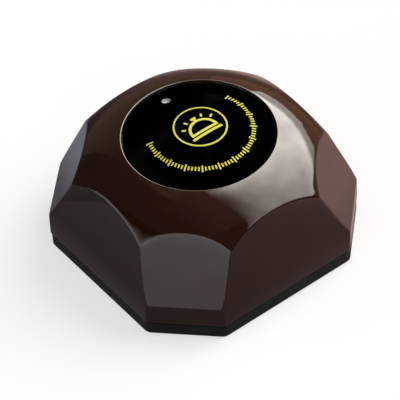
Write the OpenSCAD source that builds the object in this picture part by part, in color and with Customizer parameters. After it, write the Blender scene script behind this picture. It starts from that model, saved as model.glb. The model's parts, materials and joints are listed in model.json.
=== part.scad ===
// Waiter call button: a faceted domed housing with a round push disc on top.
// The disc sits on a sprung carrier whose plunger works a small tactile switch.
// A board with the radio parts and the battery hangs inside, over a screwed base.
// Front is -Y, right is +X, and the feet stand on z = 0. All sizes are millimetres.

/* [Housing] */
// Width across the four wide sides
body_w = 80; // [78:0.5:90]
// Width across the four narrow corner sides
corner_w = 90; // [88:0.5:98]
// Height of the opening's rim above the underside of the base
rim_h = 38; // [36:0.5:46]
// Height above the underside of the base at which the sides start to lean in
band_h = 11.7; // [10:0.1:14]
// Lean of the wide sides, in degrees
side_lean = 16.6; // [12:0.1:20]
// Radius of the soft bend low on the wide sides
side_bend_r = 40; // [10:1:40]
// Lean of the narrow corner sides, in degrees
corner_lean = 27.8; // [22:0.1:32]
// Radius of the crease low on the narrow corner sides
corner_bend_r = 0.6; // [0.2:0.1:1.5]
// How far the dome's widest circle lies outside the housing's corners
dome_margin = 2.1; // [1.5:0.1:4]
// Distance of the dome arc's centre from the middle axis
dome_offset = 11.8; // [9:0.1:14]
// Rounding of the housing's lower edge
lower_edge_r = 1; // [0.3:0.1:1.5]
// Chamfer round the opening
rim_chamfer = 0.3; // [0.1:0.1:0.6]
// Wall thickness of the housing
shell_wall = 2.2; // [1.6:0.1:2.8]
// Wall thickness of the well that the button sits in
well_wall = 1.6; // [1.2:0.1:2.2]
// Thickness of the well's floor
well_floor = 1.6; // [1.2:0.1:2.2]

/* [Button] */
// Diameter of the push disc
disc_d = 45; // [43:0.5:48]
// Gap between the disc and the rim, all round
disc_gap = 0.25; // [0.2:0.05:0.5]
// How far the disc's edge lies below the rim
disc_recess = 0.3; // [0:0.05:0.8]
// Radius of the disc's crown
crown_r = 57; // [45:1:80]
// Height of the disc's straight edge
disc_edge_h = 1.6; // [1.2:0.1:2.4]
// Wall thickness of the disc's crown
disc_wall = 1.6; // [1.2:0.1:2]
// Width of the flat land under the disc's edge
disc_land_w = 3.2; // [2.5:0.1:4]
// Thickness of the adhesive ring under the disc
adhesive_t = 0.15; // [0.1:0.05:0.3]
// Thickness of the carrier's plate
carrier_t = 1.8; // [1.4:0.1:2.4]
// Wall thickness of the carrier's skirt
skirt_t = 1.5; // [1.2:0.1:2]
// Height of the carrier's skirt below its plate
skirt_h = 3.6; // [2.5:0.1:4]
// How far the carrier stands in from the disc's edge
carrier_inset = 0.2; // [0.1:0.05:0.4]
// How far the button travels when pressed
travel = 0.5; // [0.3:0.05:0.6]
// Diameter of the plunger
plunger_d = 6; // [5:0.1:6.4]
// Radial clearance of the plunger in its guide
plunger_clear = 0.05; // [0.03:0.01:0.1]
// Thickness of a snap hook's arm
hook_t = 1.4; // [1.2:0.1:1.8]
// Width of a snap hook
hook_w = 5; // [4:0.1:6]
// How far a snap hook's barb stands out
hook_barb = 0.9; // [0.7:0.05:1.1]
// Diameter of the light window in the disc
window_d = 2.7; // [2.2:0.1:3]
// Distance of the light window from the middle axis
window_y = 15.5; // [13.5:0.1:15.5]

/* [Return spring] */
// Height of the return spring at rest
spring_h = 5.3; // [5:0.1:7]
// Mean diameter of the return spring
spring_d = 10; // [9.8:0.1:11]
// Diameter of the return spring's wire
spring_wire_d = 0.6; // [0.4:0.05:0.7]
// Number of turns of the return spring
spring_turns = 3.5; // [2.5:0.5:3.5]

/* [Base] */
// Height of the base's edge, as seen from outside
base_edge_h = 4; // [3.6:0.1:5]
// Thickness of the base's floor
base_floor = 2; // [1.6:0.1:2.4]
// Dark gap between the base and the housing
seam_gap = 0.3; // [0.2:0.05:0.5]
// How far the base's edge stands in from the housing
base_inset = 0.2; // [0:0.05:0.6]
// Radius of the base's corners
base_corner_r = 3; // [1:0.1:5]
// Height of the locating lip that stands inside the housing
lip_h = 2.5; // [2:0.1:3.5]
// Thickness of the locating lip
lip_t = 1.4; // [1:0.1:1.8]
// Gap between the locating lip and the housing
lip_clear = 0.2; // [0.1:0.05:0.4]
// Diameter of a rubber foot
foot_d = 9; // [7:0.1:11]
// How far a foot stands out below the base
foot_out = 0.8; // [0.5:0.1:1.5]
// How deep a foot sits in the base
foot_sink = 0.9; // [0.6:0.1:1.2]

/* [Case screws] */
// Diameter of a case screw's shank
case_screw_d = 2.5; // [2.2:0.1:3]
// Diameter of a case screw's head
case_head_d = 4.6; // [4:0.1:5]
// Height of a case screw's head
case_head_h = 1.6; // [1.2:0.1:2]
// Length of a case screw's shank
case_screw_l = 12; // [10:0.5:14]
// Diameter of the bosses that the case screws join
case_boss_d = 6.8; // [6.4:0.1:8]

/* [Board] */
// Width of the circuit board, front to back
board_w = 40; // [38:0.5:44]
// Thickness of the circuit board
board_t = 1.6; // [1:0.1:2]
// Chamfer of the board's corners
board_chamfer = 6; // [3:0.5:6]
// Diameter of a board screw's shank
board_screw_d = 2; // [1.6:0.1:2.4]
// Diameter of a board screw's head
board_head_d = 3.8; // [3.4:0.1:4.2]
// Height of a board screw's head
board_head_h = 1.3; // [1:0.1:1.6]
// Length of a board screw's shank
board_screw_l = 6; // [5:0.5:8]
// Diameter of the bosses that hold the board
board_boss_d = 5.2; // [4.4:0.1:5.6]

/* [Switch] */
// Width of the square tactile switch
switch_w = 6; // [5.8:0.1:6.2]
// Height of the switch's body without its cover
switch_body_h = 3.2; // [3:0.1:3.6]
// Thickness of the switch's steel cover
switch_cover_t = 0.3; // [0.2:0.05:0.4]
// Height of the switch's stem above the board
switch_h = 6; // [5.5:0.1:8]
// Diameter of the switch's stem
stem_d = 3.5; // [3:0.1:3.6]

/* [Battery] */
// Diameter of the battery, a small 12 volt cell of the 23A size
battery_d = 10.3; // [10:0.1:10.6]
// Length of the battery with its end button
battery_l = 28.5; // [28:0.1:29.5]
// Gap between the battery and its holder
battery_clear = 0.3; // [0.2:0.05:0.4]
// Room at the battery's flat end for the contact spring
contact_room = 3.5; // [3:0.1:4]

/* [Antenna] */
// Mean diameter of the antenna coil
antenna_d = 4.4; // [3.6:0.1:4.6]
// Diameter of the antenna's wire
antenna_wire_d = 0.6; // [0.4:0.05:0.7]
// Distance from one antenna turn to the next
antenna_pitch = 1.7; // [1.5:0.1:1.8]
// Number of antenna turns
antenna_turns = 10; // [6:1:10]

/* [Hidden] */
$fn = 96;

// Colours, as the photograph shows them or as such pieces usually are
SHELL_BROWN = "#2e1d17";
GLOSS_BLACK = "#0a0a0b";
BASE_BLACK = "#1c201d";
RUBBER_BLACK = "#151515";
CARRIER_BLACK = "#222224";
CLEAR_GREY = "#d4d6d4";
STEEL = "#b9bcbf";
SPRING_STEEL = "#9a9da0";
TIN = "#c9c9c4";
BOARD_GREEN = "#1f6b3a";
EPOXY_BLACK = "#18181a";
COPPER = "#b5693a";
CERAMIC_TAN = "#b89b72";
HOLDER_BLACK = "#2a2a2c";
TAPE_WHITE = "#d9d7cf";
JACKET_GREY = "#8d9299";

// A small overlap that lets a cut run clear of a face
CUT = 0.5;
// Spare depth of a screw's bore beyond the screw's end
BORE_SPARE = 0.5;
// A size larger than the whole object, for cuts that go right through
BIG = 200;

// Housing outline
half_w = body_w / 2;
half_c = corner_w / 2;
corner_off = sqrt(2) * half_c - half_w;
corner_r = norm([half_w, corner_off]);

// Heights, from the feet up
z_base = foot_out;
z_edge = z_base + base_edge_h;
z_shell = z_edge + seam_gap;
z_band = z_base + band_h;
z_rim = z_base + rim_h;

// Opening and dome arc: the arc passes through the rim, dome_margin outside the corners at its widest
disc_r = disc_d / 2;
open_r = disc_r + disc_gap;
dome_r = corner_r + dome_margin - dome_offset;
z_dome = z_rim - sqrt(pow(dome_r, 2) - pow(open_r - dome_offset, 2));

// Heights, from the rim down
z_disc_edge = z_rim - disc_recess;
z_disc_land = z_disc_edge - disc_edge_h;
z_crown = z_disc_edge - sqrt(pow(crown_r, 2) - pow(disc_r, 2));
z_plate_top = z_disc_land - adhesive_t;
z_plate = z_plate_top - carrier_t;
z_floor_top = z_plate - spring_h;
z_floor = z_floor_top - well_floor;
guide_out = 1.2;
z_plunger = z_floor - guide_out;
z_board_top = z_plunger - switch_h;
z_board = z_board_top - board_t;

// Button
carrier_r = disc_r - carrier_inset;
plunger_r = plunger_d / 2;
guide_r = plunger_r + plunger_clear;
guide_wall = 1.25;
hook_gap = 0.8;
hook_r = carrier_r - skirt_t - hook_gap;
hook_catch_gap = 0.08;
hook_tip_h = 1.4;
hook_slot_gap = 0.35;
hook_angles = [0, 90, 180, 270];
window_r = window_d / 2;
snug = 0.03;
pipe_flange_r = window_r + 1;
pipe_flange_t = 0.8;
pipe_clear = 0.4;
window_sink = 0.05;
seat_ring_h = 1;
seat_ring_t = 1;
rib_t = 1.2;
rib_h = 1.5;

// Springs and coils
spring_r = spring_d / 2;
spring_wire_r = spring_wire_d / 2;
seat_ring_gap = 0.35;
seat_ring_r = spring_r + spring_wire_r + seat_ring_gap;
coil_sides = 6;
coil_steps = 12;

// Case screws: bosses stand inside the lip, near the narrow corner sides
case_boss_r = case_boss_d / 2;
lip_inner_c = half_c - shell_wall - lip_clear - lip_t;
boss_gap = 0.4;
case_boss_at = (lip_inner_c - boss_gap - case_boss_r) / sqrt(2);
case_boss_lift = 2;
z_case_boss = z_edge + case_boss_lift;
case_head_sink = 0.4;
case_head_gap = 0.2;
case_hole_gap = 0.2;
screw_snug = 0.05;
z_case_head = z_base + case_head_sink + case_head_h;
case_bore_end = z_case_head + case_screw_l + BORE_SPARE;

// Feet, at the middle of each wide side
foot_r = foot_d / 2;
foot_gap = 0.1;
foot_in = 9;
foot_at = half_w - foot_in;

// Battery holder, under the board, and the contacts in its ends
battery_r = battery_d / 2;
holder_floor = 1;
holder_side_t = 0.95;
holder_end_t = 1.2;
holder_clasp = 0.62;
contact_t = 0.4;
contact_w = 7;
contact_gap = 0.2;
contact_pin_w = 0.8;
contact_pin_out = 1;
holder_y = -10;
holder_in_l = battery_l + contact_t + contact_room;
holder_l = holder_in_l + 2 * holder_end_t;
holder_half_w = battery_r + battery_clear + holder_side_t;
z_battery = z_board - holder_floor - battery_clear - battery_r;
z_holder_low = z_battery + battery_r - holder_clasp * battery_d;
battery_x = (contact_room - contact_t) / 2;
nub_l = 1;
nub_r = 2.3;
negative_wire_r = 0.25;
negative_turns = 2.5;
negative_out_r = 3.6;
negative_in_r = 1.9;

// Board, sized to hold the battery holder between its screws
board_head_r = board_head_d / 2;
board_screw_room = 1.2;
board_screw_x = holder_l / 2 + board_head_r + board_screw_room;
board_screw_in = 8;
board_screw_y = board_w / 2 - board_screw_in;
board_end = 4.5;
board_l = 2 * (board_screw_x + board_end);
pin_gap = 0.17;
pin_out = 1.2;

// Switch
switch_wall = 0.65;
switch_floor = 0.8;
cavity_r = switch_w / 2 - switch_wall;
snap_over = 0.25;
snap_rise = travel + snap_over;
snap_t = 0.12;
cavity_gap = 0.15;
snap_r = cavity_r - cavity_gap;
snap_gap = 0.05;
stem_r = stem_d / 2;
stem_clear = 0.08;
flange_r = cavity_r - cavity_gap;
flange_gap = 0.05;
strap_w = 3;
strap_h = 2;
strap_t = 0.25;
leg_w = 0.7;
leg_t = 0.3;
leg_top = 1.2;
leg_y = 2.25;
leg_x = switch_w / 2 + leg_t / 2;
leg_angle_x = [1, -1];

// Light emitting diode, 3 mm size
led_r = 1.5;
led_flange_r = 1.9;
led_flange_h = 1;
led_h = 5;
led_stand = 0.4;
led_lead_w = 0.5;
led_lead_x = 1.27;
z_led = z_board_top + led_stand;
pipe_over = 0.3;
z_pipe_low = z_led + led_h + travel + pipe_over;

// Radio parts on top of the board: places and sizes
chip_at = [-13, 7];
chip_size = [4.9, 3.9, 1.45];
chip_stand = 0.15;
chip_pitch = 1.27;
chip_leads = 4;
lead_w = 0.42;
lead_t = 0.2;
lead_out = 1.05;
transistor_at = [12, 1.5];
transistor_size = [2.9, 1.3, 1];
transistor_lead_x = 0.95;
resonator_at = [13, 8.5];
resonator_size = [5, 3.8, 1.5];
resonator_lid_in = 0.3;
resonator_lid_t = 0.25;
resistor_size = [1.6, 0.8, 0.45];
capacitor_size = [1.6, 0.8, 0.8];
small_pitch = 2.6;
small_rows = [-3.5, -6];
small_from_x = 6;
small_per_row = 4;

// Antenna coil, on top of the board, in front of the switch and a set distance in from the board's edge
antenna_r = antenna_d / 2;
antenna_wire_r = antenna_wire_d / 2;
antenna_in = 7;
antenna_y = antenna_in - board_w / 2;
antenna_stand = 0.5;
z_antenna = z_board_top + antenna_stand + antenna_wire_r + antenna_r;
antenna_l = antenna_turns * antenna_pitch;

// Centre lines of the three coils
function unit(v) = v / norm(v);
spring_path = [for (i = [0 : coil_steps * spring_turns])
    let (a = 360 * i / coil_steps, u = i / (coil_steps * spring_turns))
    [spring_r * cos(a), spring_r * sin(a),
     z_floor_top + spring_wire_r + u * (spring_h - spring_wire_d)]];

antenna_helix = [for (i = [0 : coil_steps * antenna_turns])
    let (a = -90 + 360 * i / coil_steps, u = i / (coil_steps * antenna_turns))
    [-antenna_l / 2 + u * antenna_l, antenna_y + antenna_r * cos(a), z_antenna + antenna_r * sin(a)]];
// The coil's first and last points give way to its two straight legs
leg_points = coil_steps * 3 / 4;
antenna_path = concat(
    [[-antenna_l / 2, antenna_y - antenna_r, z_board_top],
     [-antenna_l / 2, antenna_y - antenna_r, z_antenna - antenna_wire_r]],
    [for (i = [leg_points : len(antenna_helix) - 1 - leg_points]) antenna_helix[i]],
    [[antenna_l / 2, antenna_y + antenna_r, z_antenna - antenna_wire_r],
     [antenna_l / 2, antenna_y + antenna_r, z_board_top]]);

negative_from = -holder_in_l / 2 + contact_t + negative_wire_r;
negative_to = -holder_in_l / 2 + contact_room - negative_wire_r;
negative_path = [for (i = [0 : coil_steps * negative_turns])
    let (a = 360 * i / coil_steps, u = i / (coil_steps * negative_turns),
         r = negative_out_r + u * (negative_in_r - negative_out_r))
    [negative_from + u * (negative_to - negative_from), holder_y + r * cos(a), z_battery + r * sin(a)]];

// Least gap of a coil to itself, between points more than half a turn apart
function least_gap(path, wire_r) = min([for (i = [0 : len(path) - 1])
    for (j = [i + coil_steps / 2 + 1 : 1 : len(path) - 1]) norm(path[i] - path[j])]) - 2 * wire_r;
echo(return_spring_gap = least_gap(spring_path, spring_wire_r));
echo(antenna_gap = least_gap(antenna_path, antenna_wire_r));
echo(negative_spring_gap = least_gap(negative_path, negative_wire_r));

// A round wire along a path. The axis is any direction that the path never runs along.
module wire(path, r, axis) {
    last = len(path) - 1;
    rings = [for (i = [0 : last])
        let (t = unit(path[min(i + 1, last)] - path[max(i - 1, 0)]),
             n = unit(cross(t, axis)), b = cross(t, n))
        for (k = [0 : coil_sides - 1])
            path[i] + r * (cos(360 * k / coil_sides) * n + sin(360 * k / coil_sides) * b)];
    sides = [for (i = [0 : last - 1]) for (k = [0 : coil_sides - 1])
        let (p = i * coil_sides + k, q = i * coil_sides + (k + 1) % coil_sides)
        each [[p, q, q + coil_sides], [p, q + coil_sides, p + coil_sides]]];
    ends = [for (k = [1 : coil_sides - 2])
        each [[0, k + 1, k], last * coil_sides * [1, 1, 1] + [0, k, k + 1]]];
    polyhedron(rings, concat(sides, ends));
}

// Copies of one piece at the four points [x, y], [-x, y], [x, -y], [-x, -y]
module at_four(x, y) {
    for (sx = [1, -1]) for (sy = [1, -1]) translate([sx * x, sy * y, 0]) children();
}

// Side view of a pair of opposite housing sides: upright to the band, then leaning in.
// The bend between them is an arc of radius bend_r. An inset moves the whole outline inwards.
module side_view(half, lean, bend_r, inset) {
    r = max(bend_r - inset, 0);
    edge = half - inset;
    z_bend = z_band - inset * tan(lean / 2);
    t = r * tan(lean / 2);
    top = [edge - (z_rim - z_bend) * tan(lean), z_rim];
    right = [[edge, -BIG], [edge, z_bend - t], [edge - t * sin(lean), z_bend + t * cos(lean)], top];
    polygon(concat(right, [for (i = [len(right) - 1 : -1 : 0]) [-right[i][0], right[i][1]]]));
    if (r > 0) for (s = [1, -1]) translate([s * (edge - r), z_bend - t]) circle(r);
}

// Side view of the rounding along the housing's lower edge
module lower_edge_view(half) {
    for (s = [1, -1]) translate([s * (half - lower_edge_r), z_shell + lower_edge_r]) circle(lower_edge_r);
    translate([-half, z_shell + lower_edge_r]) square([2 * half, z_rim]);
    translate([-half + lower_edge_r, z_shell]) square([2 * (half - lower_edge_r), z_rim]);
}

// A side view drawn out across the housing, facing the given angle
module across(angle) {
    rotate([0, 0, angle]) rotate([90, 0, 0]) linear_extrude(BIG, center = true) children();
}

// Half section of the dome, for turning round the middle axis
module dome_section(inset) {
    r = dome_r - inset;
    intersection() {
        union() {
            translate([dome_offset, z_dome]) circle(r);
            square([dome_offset, z_dome + r]);
            square([dome_offset + r, z_dome]);
        }
        square([BIG, BIG]);
    }
}

// The housing's outer form, or the same form moved inwards
module housing_form(inset) {
    intersection() {
        rotate_extrude() dome_section(inset);
        across(0) side_view(half_w, side_lean, side_bend_r, inset);
        across(90) side_view(half_w, side_lean, side_bend_r, inset);
        across(45) side_view(half_c, corner_lean, corner_bend_r, inset);
        across(-45) side_view(half_c, corner_lean, corner_bend_r, inset);
    }
}

module lower_edge_form() {
    intersection() {
        across(0) lower_edge_view(half_w);
        across(90) lower_edge_view(half_w);
        across(45) lower_edge_view(half_c);
        across(-45) lower_edge_view(half_c);
    }
}

// Plan of the housing moved inwards by inset, with corners of radius r
module plan(inset, r = 0) {
    w = half_w - inset;
    c = half_c - inset;
    off = sqrt(2) * c - w;
    // A 135 degree corner's arc starts this far from the corner and is centred this far in
    cut = r * tan(22.5);
    along = [1, 1] * cut / sqrt(2);
    quarter = [
        [w, off - cut], [w - along[0], off + along[1]],
        [off + along[0], w - along[1]], [off - cut, w]
    ];
    turns = [for (q = [0 : 3]) each [for (p = quarter) [
        p[0] * cos(90 * q) - p[1] * sin(90 * q), p[0] * sin(90 * q) + p[1] * cos(90 * q)]]];
    polygon(turns);
    if (r > 0) for (q = [0 : 3]) rotate(90 * q) {
        translate([w - r, off - cut]) circle(r);
        translate([off - cut, w - r]) circle(r);
    }
}

module hook_slots() {
    for (a = hook_angles) rotate([0, 0, a])
        translate([hook_r - hook_t - hook_slot_gap, -hook_w / 2 - hook_slot_gap, z_floor - CUT])
            cube([hook_t + 2 * hook_slot_gap, hook_w + 2 * hook_slot_gap, well_floor + 2 * CUT]);
}

module top_shell() {
    color(SHELL_BROWN) difference() {
        union() {
            difference() {
                intersection() {
                    housing_form(0);
                    lower_edge_form();
                }
                housing_form(shell_wall);
            }
            // Well, plunger guide and bosses, grown into the wall
            intersection() {
                housing_form(shell_wall / 2);
                union() {
                    translate([0, 0, z_floor]) cylinder(h = z_rim - z_floor, r = open_r + well_wall);
                    translate([0, 0, z_floor - guide_out + 2 * snug])
                        cylinder(h = well_floor, r = guide_r + guide_wall);
                    at_four(board_screw_x, board_screw_y) translate([0, 0, z_board_top])
                        cylinder(h = z_rim - z_board_top, d = board_boss_d);
                    at_four(case_boss_at, case_boss_at) translate([0, 0, z_case_boss])
                        cylinder(h = z_rim - z_case_boss, r = case_boss_r);
                }
            }
        }
        // The well keeps its floor and a low post that centres the return spring
        difference() {
            translate([0, 0, z_floor_top]) cylinder(h = BIG, r = open_r);
            translate([0, 0, z_floor_top - CUT]) cylinder(h = CUT + guide_out, r = guide_r + guide_wall);
        }
        rotate_extrude() polygon([
            [open_r - CUT, z_rim - rim_chamfer - CUT], [open_r, z_rim - rim_chamfer],
            [open_r + rim_chamfer + CUT, z_rim + CUT], [open_r - CUT, z_rim + CUT]
        ]);
        translate([0, 0, z_board_top]) cylinder(h = z_rim - z_board_top, r = guide_r);
        translate([0, window_y, z_floor - CUT]) cylinder(h = well_floor + 2 * CUT, r = window_r + pipe_clear);
        hook_slots();
        at_four(board_screw_x, board_screw_y) translate([0, 0, z_board_top - CUT])
            cylinder(h = CUT + board_screw_l - board_t + BORE_SPARE, r = board_screw_d / 2 + screw_snug);
        at_four(case_boss_at, case_boss_at) translate([0, 0, z_case_boss - CUT])
            cylinder(h = CUT + case_bore_end - z_case_boss, r = case_screw_d / 2 + screw_snug);
    }
}

module base_plate() {
    color(BASE_BLACK) difference() {
        union() {
            difference() {
                union() {
                    translate([0, 0, z_base]) linear_extrude(base_edge_h) plan(base_inset, base_corner_r);
                    translate([0, 0, z_edge]) linear_extrude(lip_h) plan(shell_wall + lip_clear);
                }
                translate([0, 0, z_base + base_floor]) linear_extrude(BIG)
                    plan(shell_wall + lip_clear + lip_t);
            }
            at_four(case_boss_at, case_boss_at) translate([0, 0, z_base])
                cylinder(h = z_case_boss - z_base, r = case_boss_r);
        }
        at_four(case_boss_at, case_boss_at) {
            translate([0, 0, z_base - CUT])
                cylinder(h = CUT + case_head_sink + case_head_h, r = case_head_d / 2 + case_head_gap);
            translate([0, 0, z_base]) cylinder(h = BIG, r = case_screw_d / 2 + case_hole_gap);
        }
        for (a = hook_angles) rotate([0, 0, a]) translate([foot_at, 0, z_base - CUT])
            cylinder(h = CUT + foot_sink, r = foot_r + foot_gap);
    }
}

// A pan head screw with a cross recess. Its head stands below z = 0 and its shank above.
module pan_screw(shank_d, shank_l, head_d, head_h) {
    slot_w = head_d / 7;
    slot_l = head_d * 0.55;
    slot_deep = head_h * 0.45;
    difference() {
        union() {
            translate([0, 0, -head_h]) cylinder(h = head_h, d = head_d);
            cylinder(h = shank_l, d = shank_d);
        }
        for (a = [0, 90]) rotate([0, 0, a]) translate([-slot_l / 2, -slot_w / 2, -head_h - CUT])
            cube([slot_l, slot_w, CUT + slot_deep]);
    }
}

module case_screws() {
    color(STEEL) at_four(case_boss_at, case_boss_at) translate([0, 0, z_case_head])
        pan_screw(case_screw_d, case_screw_l, case_head_d, case_head_h);
}

module rubber_feet() {
    color(RUBBER_BLACK) for (a = hook_angles) rotate([0, 0, a]) translate([foot_at, 0, 0])
        cylinder(h = foot_out + foot_sink, r = foot_r);
}

module face_disc() {
    color(GLOSS_BLACK) difference() {
        intersection() {
            translate([0, 0, z_disc_land]) cylinder(h = BIG, r = disc_r);
            translate([0, 0, z_crown]) sphere(crown_r);
        }
        intersection() {
            translate([0, 0, z_disc_land - CUT]) cylinder(h = BIG, r = disc_r - disc_land_w);
            translate([0, 0, z_crown]) sphere(crown_r - disc_wall);
        }
        translate([0, window_y, z_disc_land]) cylinder(h = BIG, r = window_r + snug);
    }
}

module face_adhesive() {
    color(TAPE_WHITE) translate([0, 0, z_plate_top]) difference() {
        cylinder(h = adhesive_t, r = carrier_r);
        translate([0, 0, -CUT]) cylinder(h = BIG, r = disc_r - disc_land_w);
    }
}

module snap_hook() {
    arm_low = z_floor - hook_catch_gap - hook_tip_h;
    barb_top = z_floor - hook_catch_gap;
    translate([0, hook_w / 2, 0]) rotate([90, 0, 0]) linear_extrude(hook_w) polygon([
        [hook_r - hook_t, z_plate + CUT], [hook_r - hook_t, arm_low], [hook_r, arm_low],
        [hook_r + hook_barb, barb_top - hook_tip_h / 3], [hook_r + hook_barb, barb_top],
        [hook_r, barb_top], [hook_r, z_plate + CUT]
    ]);
}

module button_carrier() {
    color(CARRIER_BLACK) difference() {
        union() {
            translate([0, 0, z_plate]) cylinder(h = carrier_t, r = carrier_r);
            difference() {
                translate([0, 0, z_plate - skirt_h]) cylinder(h = skirt_h + CUT, r = carrier_r);
                translate([0, 0, z_plate - skirt_h - CUT]) cylinder(h = BIG, r = carrier_r - skirt_t);
            }
            // Ribs run out from the ring that centres the return spring
            difference() {
                union() {
                    translate([0, 0, z_plate - seat_ring_h])
                        cylinder(h = seat_ring_h + CUT, r = seat_ring_r + seat_ring_t);
                    for (a = hook_angles) rotate([0, 0, a + 45])
                        translate([seat_ring_r, -rib_t / 2, z_plate - rib_h])
                            cube([carrier_r - skirt_t / 2 - seat_ring_r, rib_t, rib_h + CUT]);
                }
                translate([0, 0, z_plate - BIG]) cylinder(h = BIG, r = seat_ring_r);
            }
            translate([0, 0, z_plunger]) cylinder(h = z_plate - z_plunger + CUT, r = plunger_r);
            for (a = hook_angles) rotate([0, 0, a]) snap_hook();
        }
        translate([0, window_y, z_plate - CUT]) cylinder(h = BIG, r = window_r + snug);
    }
}

module light_pipe() {
    color(CLEAR_GREY) {
        intersection() {
            translate([0, window_y, z_pipe_low]) cylinder(h = BIG, r = window_r);
            translate([0, 0, z_crown]) sphere(crown_r - window_sink);
        }
        translate([0, window_y, z_plate_top]) cylinder(h = pipe_flange_t, r = pipe_flange_r);
    }
}

module return_spring() {
    color(SPRING_STEEL) wire(spring_path, spring_wire_r, [0, 0, 1]);
}

module circuit_board() {
    x = board_l / 2;
    y = board_w / 2;
    c = board_chamfer;
    color(BOARD_GREEN) difference() {
        translate([0, 0, z_board]) linear_extrude(board_t) polygon([
            [x, y - c], [x - c, y], [c - x, y], [-x, y - c], [-x, c - y], [c - x, -y], [x - c, -y], [x, c - y]
        ]);
        translate([0, 0, z_board - CUT]) {
            at_four(board_screw_x, board_screw_y)
                cylinder(h = board_t + 2 * CUT, r = board_screw_d / 2 + case_hole_gap);
            at_four(leg_x, leg_y) cylinder(h = board_t + 2 * CUT, r = norm([leg_w, leg_t]) / 2 + pin_gap);
            for (s = [1, -1]) translate([s * led_lead_x, window_y, 0])
                cylinder(h = board_t + 2 * CUT, r = norm([led_lead_w, led_lead_w]) / 2 + pin_gap);
            for (s = [1, -1]) translate([s * (holder_in_l - contact_t) / 2, holder_y, 0])
                cylinder(h = board_t + 2 * CUT, r = norm([contact_pin_w, contact_t]) / 2 + pin_gap);
        }
    }
}

module board_screws() {
    color(STEEL) at_four(board_screw_x, board_screw_y) translate([0, 0, z_board])
        pan_screw(board_screw_d, board_screw_l, board_head_d, board_head_h);
}

module switch_body() {
    color(EPOXY_BLACK) translate([0, 0, z_board_top]) difference() {
        translate([-switch_w / 2, -switch_w / 2, 0]) cube([switch_w, switch_w, switch_body_h]);
        translate([0, 0, switch_floor]) cylinder(h = BIG, r = cavity_r);
    }
}

module switch_cover() {
    color(STEEL) translate([0, 0, z_board_top + switch_body_h]) difference() {
        union() {
            translate([-switch_w / 2, -switch_w / 2, 0]) cube([switch_w, switch_w, switch_cover_t]);
            // Straps fold down over the front and back of the switch
            for (s = [1, -1]) translate([-strap_w / 2, s * (switch_w + strap_t) / 2 - strap_t / 2, -strap_h])
                cube([strap_w, strap_t, strap_h + switch_cover_t]);
        }
        translate([0, 0, -CUT]) cylinder(h = switch_cover_t + 2 * CUT, r = stem_r + stem_clear);
    }
}

module switch_legs() {
    color(TIN) at_four(leg_x, leg_y) translate([-leg_t / 2, -leg_w / 2, z_board - pin_out])
        cube([leg_t, leg_w, pin_out + board_t + leg_top]);
}

// A thin dished spring plate that clicks flat under the stem
module switch_snap_dome() {
    ball_r = (pow(snap_r, 2) + pow(snap_rise, 2)) / (2 * snap_rise);
    z_seat = z_board_top + switch_floor;
    color(SPRING_STEEL) difference() {
        intersection() {
            translate([0, 0, z_seat]) cylinder(h = snap_rise + CUT, r = snap_r);
            translate([0, 0, z_seat + snap_rise - ball_r]) sphere(ball_r);
        }
        translate([0, 0, z_seat + snap_rise - ball_r]) sphere(ball_r - snap_t);
    }
}

module switch_stem() {
    z_low = z_board_top + switch_floor + snap_rise + snap_gap;
    z_top = z_board_top + switch_body_h - flange_gap;
    color(CARRIER_BLACK) {
        translate([0, 0, z_low]) cylinder(h = z_top - z_low, r = flange_r);
        translate([0, 0, z_low]) cylinder(h = z_plunger - z_low, r = stem_r);
    }
}

module led_lens() {
    color(CLEAR_GREY) translate([0, window_y, z_led]) {
        cylinder(h = led_flange_h, r = led_flange_r);
        cylinder(h = led_h - led_r, r = led_r);
        translate([0, 0, led_h - led_r]) sphere(led_r);
    }
}

module led_leads() {
    color(TIN) for (s = [1, -1])
        translate([s * led_lead_x - led_lead_w / 2, window_y - led_lead_w / 2, z_board - pin_out])
            cube([led_lead_w, led_lead_w, z_led - z_board + pin_out]);
}

module radio_chip() {
    color(EPOXY_BLACK) translate([chip_at[0], chip_at[1], z_board_top + chip_stand + chip_size[2] / 2])
        cube(chip_size, center = true);
}

// One bent lead: out of the chip's side, down, and flat on the board
module chip_lead() {
    mid = chip_stand + chip_size[2] / 2;
    half = lead_out / 2;
    translate([-lead_w / 2, 0, 0]) {
        translate([0, 0, mid - lead_t / 2]) cube([lead_w, half, lead_t]);
        translate([0, half - lead_t, 0]) cube([lead_w, lead_t, mid]);
        translate([0, half - lead_t, 0]) cube([lead_w, half + lead_t, lead_t]);
    }
}

module radio_chip_leads() {
    first = -(chip_leads - 1) / 2 * chip_pitch;
    color(TIN) translate([chip_at[0], chip_at[1], z_board_top])
        for (side = [0, 180]) rotate([0, 0, side]) for (i = [0 : chip_leads - 1])
            translate([first + i * chip_pitch, chip_size[1] / 2, 0]) chip_lead();
}

module radio_transistor() {
    leads = [[-transistor_lead_x, -1], [transistor_lead_x, -1], [0, 1]];
    color(EPOXY_BLACK) translate([transistor_at[0], transistor_at[1], z_board_top]) {
        translate([-transistor_size[0] / 2, -transistor_size[1] / 2, 0]) cube(transistor_size);
        for (p = leads) translate([p[0] - lead_w / 2, p[1] < 0 ? -transistor_size[1] : 0, 0])
            cube([lead_w, transistor_size[1], lead_t]);
    }
}

module saw_resonator() {
    lid = [resonator_size[0] - 2 * resonator_lid_in, resonator_size[1] - 2 * resonator_lid_in];
    color(STEEL) translate([resonator_at[0], resonator_at[1], z_board_top]) {
        translate([-resonator_size[0] / 2, -resonator_size[1] / 2, 0])
            cube([resonator_size[0], resonator_size[1], resonator_size[2] - resonator_lid_t]);
        translate([-lid[0] / 2, -lid[1] / 2, 0]) cube([lid[0], lid[1], resonator_size[2]]);
    }
}

// Two rows of small chip parts, on the given side of the switch
module small_parts(side, size) {
    for (y = small_rows) for (i = [0 : small_per_row - 1])
        translate([side * (small_from_x + i * small_pitch) - size[0] / 2, y - size[1] / 2, z_board_top])
            cube(size);
}

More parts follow.
